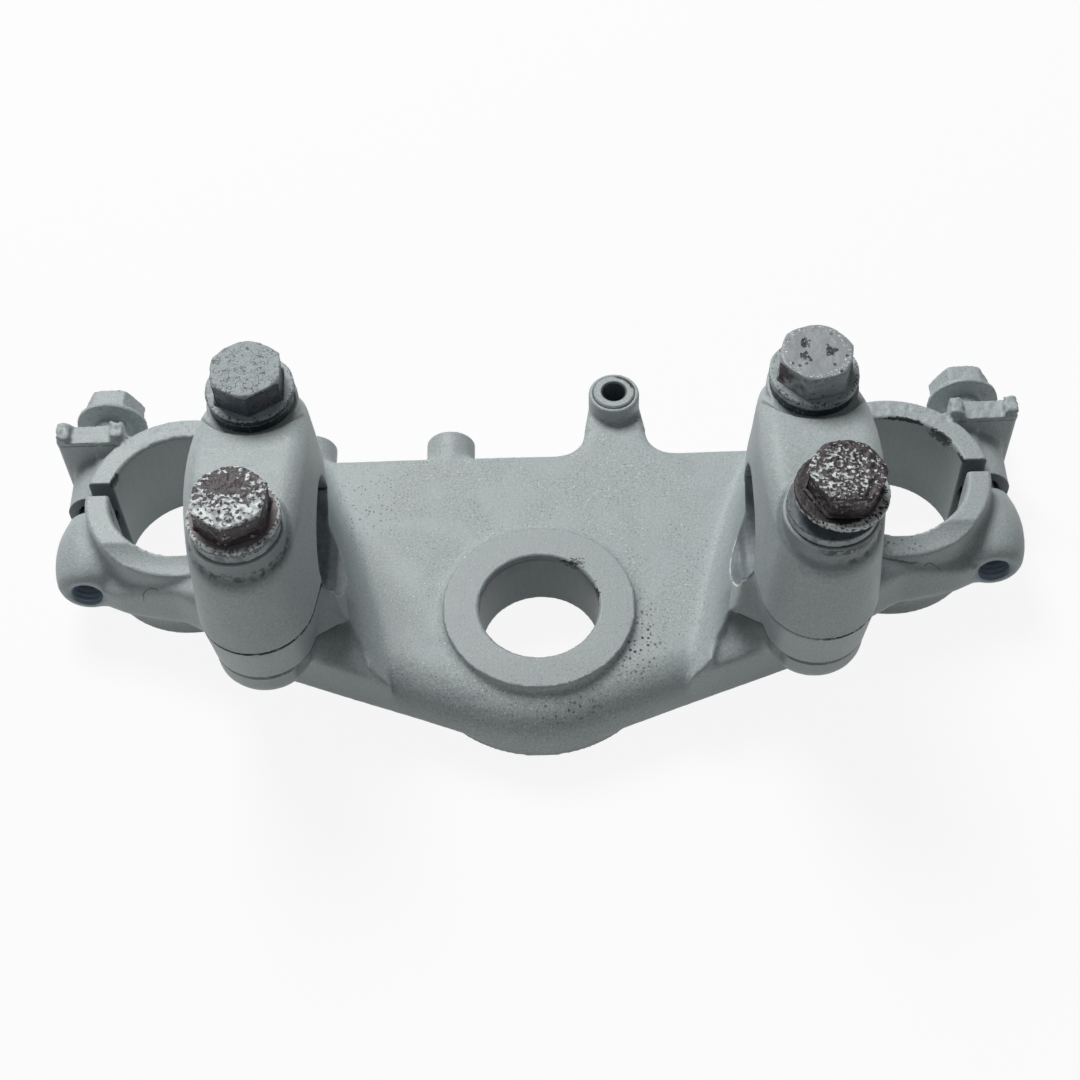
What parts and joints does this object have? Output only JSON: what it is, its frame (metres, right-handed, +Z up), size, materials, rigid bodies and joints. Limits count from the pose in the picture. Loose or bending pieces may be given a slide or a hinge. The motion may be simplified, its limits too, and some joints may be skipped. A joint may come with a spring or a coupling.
{
  "type": "motorcycle triple clamp",
  "caption": "Upper fork yoke: a grey cast plate with a stem bore, split fork clamps at both ends and handlebar clamps with bolted caps on risers.",
  "frame": {"origin": "on the axis of the steering stem's bore, level with the machined top of its boss", "axes": "+Z up the stem, +Y to the front wheel, +X to the rider's right"},
  "size_m": [0.2064, 0.0875, 0.072],
  "materials": {
    "casting": "satin paint over a fine cast grain",
    "cap": "satin paint over a fine cast grain",
    "bush": "dull, worn",
    "washer": "painted over, spotted with rust",
    "painted_bolt": "painted over, pitted",
    "rusty_bolt": "rusty, with flaking paint",
    "pinch_bolt": "painted over"
  },
  "bodies": {
    "root": {"yoke_casting": "casting", "bar_cap_left": "cap", "bar_cap_right": "cap", "lug_bush": "bush", "spring_washer_left_rear": "washer", "flat_washer_left_rear": "washer", "cap_bolt_left_rear": "rusty_bolt", "spring_washer_left_front": "washer", "flat_washer_left_front": "washer", "cap_bolt_left_front": "painted_bolt", "pinch_bolt_left": "pinch_bolt", "spring_washer_right_rear": "washer", "flat_washer_right_rear": "washer", "cap_bolt_right_rear": "rusty_bolt", "spring_washer_right_front": "washer", "flat_washer_right_front": "washer", "cap_bolt_right_front": "painted_bolt", "pinch_bolt_right": "pinch_bolt"}
  },
  "joints": []
}
